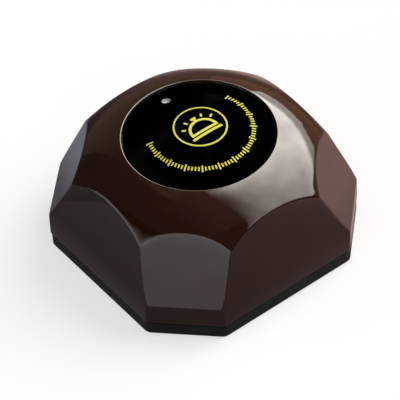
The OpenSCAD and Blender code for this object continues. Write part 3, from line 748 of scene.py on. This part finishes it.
print("a mid grey is", round(linear("#808080")[0], 3), "in linear light")

# %% [markdown]
# The housing is ABS moulded in a polished tool: a deep chocolate brown under a glassy skin. The skin sinks
# a little over ribs, has a fine orange peel from the plastic's flow, and is dulled in patches by hands. The
# sinks bend the edges of what it mirrors, which is how the eye tells it from glass.

# %% Polished ABS
ABS_TONES = ("#261107", "#2f1709")
FLOW_MM, HANDS_MM = 18.0, 6.0
SINK_MM, SINK_DEPTH_MM = 9.0, 0.05
PEEL_MM, PEEL_SHARE = 0.9, 0.02

brown, place = new_material("polished_moulded_abs_chocolate")
flow, hands, sinks, peel = (
    add_node(brown, "TexNoise", sized(place, size_mm, Detail=detail))
    for size_mm, detail in ((FLOW_MM, 3.0), (HANDS_MM, 4.0), (SINK_MM, 0.0), (PEEL_MM, 1.0)))
skin = add_node(brown, "Math", {0: peel, 1: PEEL_SHARE, 2: sinks}, operation="MULTIPLY_ADD")
finish_material(brown, between(brown, flow, *ABS_TONES), between(brown, hands, 0.04, 0.09),
                skin, SINK_DEPTH_MM, IOR=1.5)
dress(housing, brown)
print("housing:", brown.name)

# %% [markdown]
# The base is black ABS from a spark-eroded tool, which leaves a fine even grain and a satin look. The real
# grain is about 0.1 mm. It is drawn at 0.25 mm, because finer than that it wouldn't show. Other mouldings
# differ only in tone, gloss and grain, so one function makes them all.

# %% Grained mouldings
DRIFT_MM = 10


def moulded(name, tones, roughness, grain_mm, depth_mm, **sockets):
    """A moulding: slow drift between two tones, and one grain for both its gloss and its relief."""
    mat, place = new_material(name)
    drift = add_node(mat, "TexNoise", sized(place, DRIFT_MM, Detail=3.0))
    grain = add_node(mat, "TexNoise", sized(place, grain_mm, Detail=2.0))
    return finish_material(mat, between(mat, drift, *tones), between(mat, grain, *roughness),
                           grain, depth_mm, **sockets)


dress(base, moulded("spark_grained_abs_black", ("#1c201c", "#262b27"), (0.4, 0.55), 0.25, 0.008,
                    Specular_IOR_Level=0.12))
MOULDINGS = {
    "button_carrier": ("grained_carrier_abs", ("#1a1a1b", "#232325"), (0.4, 0.55), 0.3, 0.008),
    "battery_holder": ("grained_holder_abs", ("#1b1b1d", "#262628"), (0.45, 0.6), 0.4, 0.01),
    "switch_body": ("glass_filled_switch_nylon", ("#151516", "#202022"), (0.5, 0.65), 0.12, 0.006),
    "switch_stem": ("glass_filled_stem_nylon", ("#1c1c1d", "#28282a"), (0.5, 0.65), 0.12, 0.006),
    "radio_chip": ("chip_epoxy_black", ("#131314", "#1c1c1d"), (0.55, 0.7), 0.1, 0.005),
    "radio_transistor": ("transistor_epoxy_black", ("#121213", "#1a1a1c"), (0.55, 0.7), 0.1, 0.005),
    "rubber_feet": ("pressed_nitrile_rubber", ("#101010", "#1a1a1a"), (0.7, 0.88), 0.35, 0.02)}
for node, finish in MOULDINGS.items():
    dress_nodes(moulded(*finish), node)
print("grained mouldings:", 1 + len(MOULDINGS))

# %% [markdown]
# The disc is clear acrylic printed black on its back, so its black lies under a hard, even gloss. It stays
# black at every angle, and only its rim shows a thin line of light.

# %% Back-printed acrylic
black, place = new_material("back_printed_acrylic_black")
smear = add_node(black, "TexNoise", sized(place, 7, Detail=4.0))
wave = add_node(black, "TexNoise", sized(place, 12, Detail=0.0))
finish_material(black, between(black, smear, "#010101", "#020202"), between(black, smear, 0.08, 0.14),
                wave, 0.03, IOR=1.49, Specular_IOR_Level=0.3)
dress(disc, black)
print("disc:", black.name)

# %% [markdown]
# The ink is screen printed, and a screen's mesh leaves its threads in the ink as a faint square pattern of
# about five to the millimetre. The lemon yellow is opaque, a little thin in places, and half matt.

# %% Screen-printed ink
THREAD_MM = 0.2


def woven(mat, place, pitch_mm, operation):
    """Waves along X and Y with the given pitch, multiplied to a mesh or added to a plaid."""
    inputs = sized(place, pitch_mm * 20 / math.tau)
    waves = [add_node(mat, "TexWave", inputs, bands_direction=way).outputs["Fac"] for way in "XY"]
    return add_node(mat, "Math", {0: waves[0], 1: waves[1]}, operation=operation)


ink, place = new_material("screen_printed_ink_lemon")
thin = add_node(ink, "TexNoise", sized(place, 1.5, Detail=3.0))
threads = woven(ink, place, THREAD_MM, "MULTIPLY")
finish_material(ink, between(ink, thin, "#f0ef52", "#f8f772"), between(ink, threads, 0.45, 0.6, 0.0, 1.0),
                threads, 0.003)
for mark in (print_ring, print_bell, print_scale):
    dress(mark, ink)
print("ink:", ink.name)

# %% [markdown]
# The light pipe's face is frosted acrylic. Its colour carries painted light: pale on the left and dim on the
# right, for light that enters it from the right and comes out on its far side. The lens under it is clear
# epoxy.

# %% Light pipe and lens
# Where the painted light and the painted shade in the window's colour lie, in metres along X.
PAINTED_LIGHT_X, PAINTED_SHADE_X = -0.9 * MM, 1.3 * MM
frosted, place = new_material("frosted_acrylic_light_pipe")
across = add_node(frosted, "SeparateXYZ", {"Vector": place}).outputs["X"]
frost = add_node(frosted, "TexNoise", sized(place, 0.25, Detail=2.0))
# Painted light: the window's colour fades from pale on the left to dim on the right.
finish_material(frosted, between(frosted, across, "#cfcfcf", "#646464", PAINTED_LIGHT_X, PAINTED_SHADE_X),
                between(frosted, frost, 0.35, 0.5), frost, 0.01, IOR=1.49)
dress_nodes(frosted, "light_pipe")
lens, place = new_material("clear_cast_epoxy_lens")
cast = add_node(lens, "TexNoise", sized(place, 1.2, Detail=1.0))
finish_material(lens, between(lens, cast, "#e4e9e6", "#f2f6f4"), between(lens, cast, 0.03, 0.09), cast, 0.01,
                IOR=1.53, Transmission_Weight=0.85)
dress_nodes(lens, "led_lens")
print("light pipe and lens:", frosted.name, lens.name)

# %% [markdown]
# The small metal pieces are sheet or wire, plated or bare. Rolling and drawing leave fine lines along the
# metal, which are a noise stretched along the worked direction, and plating adds a slow drift of tone. Zinc
# is a cool blue grey, tin is soft and pale, nickel is warm and bright, stainless is neutral.

# %% Worked metals
def worked_metal(name, tones, roughness, stretch, line_mm=0.06, **sockets):
    """A metal with lines. stretch is how much longer than wide they are along X, Y and Z."""
    mat, place = new_material(name)
    scale = tuple(1 / (line_mm * MM * long) for long in stretch)
    lined = add_node(mat, "Mapping", {"Vector": place, "Scale": scale})
    lines = add_node(mat, "TexNoise", {"Vector": lined, "Scale": 1.0, "Detail": 2.0})
    cloud = add_node(mat, "TexNoise", sized(place, 2.5, Detail=3.0))
    return finish_material(mat, between(mat, cloud, *tones), between(mat, lines, *roughness),
                           lines, 0.002, Metallic=1.0, **sockets)


dress_nodes(worked_metal("zinc_plated_steel", ("#9fa5ad", "#bfc3c4"), (0.26, 0.42), (1, 1, 1), 0.2),
            "case_screws", "board_screws")
dress(coil_spring, worked_metal("drawn_spring_steel", ("#85888b", "#a3a6a9"), (0.22, 0.36), (6, 6, 1)))
dress_nodes(worked_metal("rolled_stainless", ("#aaacae", "#c4c6c8"), (0.24, 0.4), (30, 1, 30)),
            "switch_cover")
dress(snap_dome, worked_metal("bright_stainless", ("#b0b0b2", "#c6c6c8"), (0.1, 0.22), (30, 1, 30)))
dress_nodes(worked_metal("dipped_tin", ("#bdbdb8", "#d4d4cf"), (0.24, 0.42), (1, 1, 5), 0.15),
            "switch_legs", "led_leads", "radio_chip_leads")
dress_nodes(worked_metal("plated_nickel", ("#b3b0a6", "#cdcac1"), (0.16, 0.32), (1, 25, 25)),
            "saw_resonator", "positive_contact", "negative_contact", "negative_spring")
print("worked metals on 10 nodes and both springy pieces")

# %% [markdown]
# The coil's copper wire shows through a glossy amber enamel, which is thinner in places. A clear coat over
# the metal gives that second, sharper highlight.

# %% Enamelled copper
dress_nodes(worked_metal("enamelled_copper", ("#9c5028", "#c07040"), (0.2, 0.34), (1, 6, 6),
                         Coat_Weight=0.7, Coat_Roughness=0.08), "antenna_coil")
print("antenna coil done")

# %% [markdown]
# The board is glass cloth in epoxy under a green solder mask. The cloth shows as a fine plaid of about half
# a millimetre, the copper tracks as lighter lines under the mask, and the sawn edges are bare and tan.

# %% Circuit board
CLOTH_MM, TRACK_MM = 0.5, 2.2
board, place = new_material("solder_masked_glass_laminate")
plaid = woven(board, place, CLOTH_MM, "ADD")
blocks = add_node(board, "TexVoronoi", sized(place, TRACK_MM, Randomness=0.7), distance="CHEBYCHEV")
tracks = between(board, blocks, 0.0, 1.0, 0.33, 0.36)
mask = cover(board, tracks, between(board, plaid, "#11502a", "#175c32", 0.0, 2.0), "#2a7c46")
normal = add_node(board, "NewGeometry").outputs["Normal"]
flat = add_node(board, "SeparateXYZ", {"Vector": normal}).outputs["Z"]
flat = add_node(board, "Math", {0: flat}, operation="ABSOLUTE")
level = add_node(board, "Math", {0: flat, 1: 0.5}, operation="GREATER_THAN")
finish_material(board, cover(board, level, "#b59f5e", mask), between(board, plaid, 0.28, 0.42, 0.0, 2.0),
                plaid, 0.006, IOR=1.5)
dress_nodes(board, "circuit_board")
print("circuit board:", board.name)

# %% [markdown]
# Chip resistors are a black glaze on white ceramic, and chip capacitors are a tan ceramic block. Both end
# in tinned caps, which is what lets them be soldered. The caps are found from each piece's place in its row.

# %% Chip parts with tinned caps
ROW_START_MM, ROW_PITCH_MM, CAP_FROM_MM = 6.0, 2.6, 0.5


def capped_chip(name, tones, roughness):
    mat, place = new_material(name)
    x = add_node(mat, "SeparateXYZ", {"Vector": place}).outputs["X"]
    cap = add_node(mat, "Math", {0: x}, operation="ABSOLUTE")
    for operation, size_mm in (("SUBTRACT", ROW_START_MM), ("PINGPONG", ROW_PITCH_MM / 2),
                               ("GREATER_THAN", CAP_FROM_MM)):
        cap = add_node(mat, "Math", {0: cap, 1: size_mm * MM}, operation=operation)
    grain = add_node(mat, "TexNoise", sized(place, 0.15, Detail=2.0))
    body = between(mat, grain, *tones)
    gloss = between(mat, grain, *roughness)
    return finish_material(mat, cover(mat, cap, body, "#c9c9c4"), gloss, grain, 0.004)


dress_nodes(capped_chip("glazed_chip_resistor", ("#111113", "#1c1c20"), (0.22, 0.38)), "chip_resistors")
dress_nodes(capped_chip("fired_ceramic_capacitor", ("#a3855c", "#b89a72"), (0.4, 0.55)), "chip_capacitors")
print("chip parts done")

# %% [markdown]
# The small battery has a printed film shrunk onto a steel can. The film is plain: pale grey with one dark
# band at the positive end, and the steel shows at both ends. Its print has a soft pearl gloss.

# %% Battery jacket
BAND_MM, BARE_MM = 9, 1.6
low, high = (corner.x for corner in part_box("battery"))
jacket, place = new_material("shrunk_printed_film")
x = add_node(jacket, "SeparateXYZ", {"Vector": place}).outputs["X"]
pearl = add_node(jacket, "TexNoise", sized(place, 3, Detail=3.0))
band = add_node(jacket, "Math", {0: x, 1: high - BAND_MM * MM}, operation="GREATER_THAN")
film = cover(jacket, band, between(jacket, pearl, "#8b9299", "#a3a9af"), "#23262a")
wrapped = add_node(jacket, "Math", {0: x, 1: (low + high) / 2, 2: (high - low) / 2 - BARE_MM * MM},
                   operation="COMPARE")
finish_material(jacket, cover(jacket, wrapped, "#b9b9b6", film), between(jacket, pearl, 0.24, 0.38),
                pearl, 0.004)
dress_nodes(jacket, "battery")
print("battery jacket:", jacket.name)

# %% [markdown]
# The tape under the disc is a pale acrylic foam: matt, with open cells a fifth of a millimetre across.

# %% Foam tape
foam, place = new_material("acrylic_foam_tape")
cells = add_node(foam, "TexVoronoi", sized(place, 0.2))
finish_material(foam, between(foam, cells, "#b9b7af", "#dcdad2", 0.0, 0.6),
                between(foam, cells, 0.8, 0.95, 0.0, 0.6), cells, 0.04)
dress_nodes(foam, "face_adhesive")
dressed = {node for node, piece in frame["nodes"].items()
           if any(slot.link == "OBJECT" for slot in piece.material_slots)}
print("nodes dressed:", len(dressed), "and replaced:", sorted(set(frame["nodes"]) - dressed))

# %% [markdown]
# ## Studio
# The photograph has a white ground and one very large soft light on the right. The floor is a pale matt
# sheet that keeps the object's shadow. For what the camera, metal or glass sees of it, it adds the little
# light that makes it white, so the lamps can stay at a plain level.

# %% Floor
LAMP_LIT, ADDED = 0.5, 0.62
bpy.ops.mesh.primitive_plane_add(size=24)
floor = as_piece("studio_floor")
paper, place = new_material("matt_white_paper")
matt = add_node(paper, "BsdfDiffuse", {"Color": (LAMP_LIT, LAMP_LIT, LAMP_LIT, 1), "Roughness": 0.5})
ray = add_node(paper, "LightPath").outputs
seen = ray["Is Camera Ray"]
for operation, other in (("MAXIMUM", ray["Is Glossy Ray"]), ("MAXIMUM", ray["Is Transmission Ray"]),
                         ("MULTIPLY", ADDED)):
    seen = add_node(paper, "Math", {0: seen, 1: other}, operation=operation)
lift = add_node(paper, "Emission", {"Strength": seen})
both = add_node(paper, "AddShader", {0: matt, 1: lift})
add_node(paper, "OutputMaterial", {"Surface": both})
dress(floor, paper)
print("floor: lamps", LAMP_LIT, "and for the eye", ADDED)

# %% [markdown]
# Two far lamps with wide soft discs light the piece itself: a warm key from the softbox's side and a weak
# cool fill from the other. They aren't mirrored, because a mirrored sun would be a round spot.

# %% Key and fill
def sun(name, azimuth, elevation, strength, spread, colour):
    """A far light with a wide, soft disc, placed by angles in degrees."""
    towards = direction(math.radians(azimuth), math.radians(elevation))
    bpy.ops.object.light_add(type="SUN", rotation=towards.to_track_quat("Z", "Y").to_euler())
    lamp = bpy.context.object
    lamp.name = name
    lamp.data.energy = strength
    lamp.data.angle = math.radians(spread)
    lamp.data.color = linear(colour)[:3]
    lamp.visible_glossy = False
    return lamp


key = sun("key_light", 80, 38, 3.0, 60, "#fff6ee")
fill = sun("fill_light", -60, 65, 1.1, 140, "#f4f6ff")
print("lamps:", key.name, key.data.energy, fill.name, fill.data.energy)

# %% [markdown]
# A glossy dark piece is drawn by what it mirrors, so flat sheets that only gloss sees stand for the room.
# A sheet's glow is a product of fades along its axes, with a faint dapple as of cloth. Its place and its
# strength are worked out from where the real piece mirrors it.

# %% Helpers for glowing sheets
FOLDS_PER_METRE, TINT_FADE = 6.0, [(-0.06, 0.0), (0.08, 1.0)]


def fade_along(mat, axis, stops):
    """A ramp of strengths at metres along X, Y or Z, or for "turn" at radians round from X."""
    place = add_node(mat, "TexCoord").outputs["Object"]
    axes = add_node(mat, "SeparateXYZ", {"Vector": place}).outputs
    if axis == "turn":
        along = add_node(mat, "Math", {0: axes["Y"], 1: axes["X"]}, operation="ARCTAN2")
    else:
        along = axes[axis]
    start, end = stops[0][0], stops[-1][0]
    part = add_node(mat, "MapRange", {"Value": along, "From Min": start, "From Max": end})
    fade = add_node(mat, "ValToRGB", {"Fac": part})
    ramp = fade.color_ramp.elements
    for i, (metres, strength) in enumerate(stops):
        position = (metres - start) / (end - start)
        stop = ramp[i] if i < 2 else ramp.new(position)
        stop.position = position
        stop.color = (strength, strength, strength, 1)
    return fade


def glow(name, colours, power, fades, dapple):
    """A glow that goes from the first to the last colour along X."""
    mat, place = new_material(name)
    strength = power
    for axis, stops in fades:
        strength = add_node(mat, "Math", {0: fade_along(mat, axis, stops), 1: strength},
                            operation="MULTIPLY")
    folds = add_node(mat, "TexNoise", {"Vector": place, "Scale": FOLDS_PER_METRE, "Detail": 2.0})
    folds = between(mat, folds, 1 - dapple, 1 + dapple)
    strength = add_node(mat, "Math", {0: strength, 1: folds}, operation="MULTIPLY")
    colour = cover(mat, fade_along(mat, "X", TINT_FADE), colours[0], colours[-1])
    light = add_node(mat, "Emission", {"Color": colour, "Strength": strength})
    add_node(mat, "OutputMaterial", {"Surface": light})
    return mat


def rectangle(*ends):
    """Corners of a level or upright rectangle: a pair of ends on two axes, and one place on the third."""
    flat = next(axis for axis in range(3) if not isinstance(ends[axis], tuple))
    (a, b), (c, d) = (ends[axis] for axis in range(3) if axis != flat)
    return [corner[:flat] + (ends[flat],) + corner[flat:] for corner in ((a, c), (b, c), (b, d), (a, d))]


def glowing_sheet(name, corners, colours, power, fades, dapple=0.0):
    """A flat sheet through corners given in metres, which glows for gloss alone."""
    bpy.ops.mesh.primitive_circle_add(vertices=len(corners), radius=1, fill_type="NGON")
    panel = as_piece(name)
    for vertex in panel.data.vertices:
        turn = math.atan2(vertex.co.y, vertex.co.x) / math.tau * len(corners)
        vertex.co = Vector(corners[round(turn) % len(corners)])
    dress(panel, glow(name + "_glow", colours, power, fades, dapple))
    panel.visible_camera = False
    panel.visible_diffuse = False
    panel.visible_shadow = False
    panel.visible_transmission = False
    return panel


print("helpers for sheets: fade_along, glow, rectangle, glowing_sheet")

# %% [markdown]
# The softbox is a tall sheet on the right that leans over the piece. Its corners are counted along Y and up
# its slope, as shares of its distance. It grows dimmer towards the front and its top, with a dim skirt at
# its foot. Its outline is uneven, because the real reflection's is.

# %% Softbox
SOFTBOX_FACING, SOFTBOX_AWAY = Vector((0.722, 0, 0.692)), 0.8
SOFTBOX_UP = Vector((-SOFTBOX_FACING.z, 0, SOFTBOX_FACING.x))
SOFTBOX_CORNERS = (
    (-2.0, 0.45), (-1.15, -0.14), (-0.74, -0.36), (-0.38, -0.32), (-0.27, -0.36), (-0.1, -0.52), (0.2, -0.53),
    (0.4, -0.57), (0.88, -0.6), (0.88, 0.3), (0.14, 0.62), (0.12, 0.9), (-0.1, 0.93), (-0.4, 0.9),
    (-0.72, 0.82), (-1.3, 0.74))
softbox = glowing_sheet("softbox_sheet", [
    (SOFTBOX_FACING + Vector((0, 1, 0)) * along + SOFTBOX_UP * high) * SOFTBOX_AWAY
    for along, high in SOFTBOX_CORNERS], ("#fffaef",), 13.0, [
    ("turn", [(-1.40, 0.2), (-1.25, 0.24), (-1.05, 0.24), (-0.79, 0.35), (-0.52, 0.45), (-0.26, 0.62),
              (0.0, 0.84), (0.2, 0.94), (0.4, 1.0), (0.8, 0.95)]),
    ("Z", [(0.05, 0.2), (0.3, 0.25), (0.34, 0.86), (0.5, 0.87), (0.70, 1.0), (0.83, 0.8), (0.91, 0.68),
           (0.97, 0.46), (1.0, 0.3), (1.04, 0.17), (1.1, 0.05)])], dapple=0.15)
print("softbox:", len(SOFTBOX_CORNERS), "corners")

# %% [markdown]
# Three upright sheets stand for the walls. The left one lights the narrow face in front and the fillets, a
# dim brown one stands behind, and a warm board beyond the softbox tints the dome's far edge. The ceiling
# is dim, with a brighter part at the back.

# %% Walls and ceiling
TOP_Z = 1.3
wall = glowing_sheet("left_wall_sheet", rectangle(-0.6, (-1.3, 0.6), (0, 0.7)), ("#f4eef3",), 2.5, [
    ("Z", [(0.0, 0.45), (0.12, 0.5), (0.2, 1.0), (0.34, 0.8), (0.46, 0.5), (0.58, 0.0)])])
back_wall = glowing_sheet("back_wall_sheet", rectangle((-0.25, 1.2), 1.5, (0, 1.4)), ("#ffe8c6",), 0.25, [
    ("Z", [(0.0, 1.0), (0.8, 0.8), (1.4, 0.3)])])
cupboard = glowing_sheet("cupboard_sheet", rectangle(1.6, (-1.2, 3.5), (0, 0.7)), ("#ffc3a4",), 0.58, [
    ("Z", [(0.0, 1.0), (0.5, 1.0), (0.7, 0.7)])], dapple=0.1)
ceiling = glowing_sheet("ceiling_sheet", rectangle((-0.7, 0.3), (-0.8, 0.15), TOP_Z), ("#ffdccb",), 0.23, [
    ("X", [(-0.7, 0.23), (-0.5, 0.4), (-0.35, 0.65), (-0.2, 0.78), (0.0, 1.0), (0.3, 1.0)])], dapple=0.2)
rafter = glowing_sheet("rafter_sheet", rectangle((-0.28, 0.3), (0.15, 1.0), TOP_Z), ("#ffcfb5",), 0.38, [
    ("Y", [(0.15, 0.75), (0.3, 1.0), (0.55, 0.85), (0.7, 0.6), (1.0, 0.4)])], dapple=0.2)
walls = (wall, back_wall, cupboard, ceiling, rafter)
print("walls and ceiling:", [panel.name for panel in walls])

# %% [markdown]
# The table lies just over the floor. Its glow is painted light and shade: brighter and warmer to the right,
# where the softbox lights it, and dim just left of the piece, where the piece's shadow falls. A pale strip
# behind the piece and a warm far end lie on it.

# %% Table
TABLE_Z, ON_TABLE = 0.0002, 0.0004
# Painted light and shade in the table's strength: a pool of softbox light to the right, and the piece's
# shadow as the dip just left of it.
table = glowing_sheet("table_sheet", rectangle((-12, 12), (-12, 12), TABLE_Z), ("#f4f2fb", "#ffd4ca"), 1.07, [
    ("X", [(-0.16, 0.38), (-0.09, 0.32), (-0.06, 0.2), (-0.03, 0.2), (0.01, 0.34), (0.04, 0.44), (0.08, 0.9),
           (0.14, 1.0), (0.4, 0.9)]),
    ("Y", [(-0.3, 1.0), (0.05, 1.0), (0.085, 0.62), (0.12, 0.26), (0.2, 0.22), (0.5, 0.2)])])
strip = glowing_sheet(
    "table_strip_sheet", rectangle((-0.1, 0.02), (0.05, 0.13), ON_TABLE), ("#eef2ff",), 0.42, [
    ("Y", [(0.05, 0.4), (0.07, 1.0), (0.11, 0.9), (0.13, 0.5)])])
far_end = glowing_sheet("table_end_sheet", rectangle((0.3, 1.6), (0.15, 2.5), ON_TABLE), ("#ffc3a4",), 0.38, [
    ("X", [(0.3, 0.6), (0.6, 1.0)])])
sheets = (softbox, *walls, table, strip, far_end)
print("sheets:", len(sheets))

# %% [markdown]
# The disc is so deep a black in the photograph that it shows none of these sheets. Light linking keeps
# them off it, its print and its window.

# %% Light linking
unlit = bpy.data.collections.new("pieces_without_sheets")
for piece in (disc, print_ring, print_bell, print_scale, frame["nodes"]["light_pipe"]):
    unlit.objects.link(piece)
for entry in unlit.collection_objects:
    entry.light_linking.link_state = "EXCLUDE"
for panel in sheets:
    panel.light_linking.receiver_collection = unlit

# %% [markdown]
# Whatever no sheet covers is a weak, even grey, so that nothing mirrors plain black.

# %% World and view
WORLD_COLOUR, WORLD_STRENGTH = "#f2f2f4", 0.06
world = bpy.data.worlds.new("studio_world")
bpy.context.scene.world = world
world.use_nodes = True
background = world.node_tree.nodes["Background"].inputs
background["Color"].default_value = linear(WORLD_COLOUR)
background["Strength"].default_value = WORLD_STRENGTH
bpy.context.scene.view_settings.view_transform = "Standard"

# %% [markdown]
# At the end the view layer is updated.

# %% Update the view layer
bpy.context.view_layer.update()
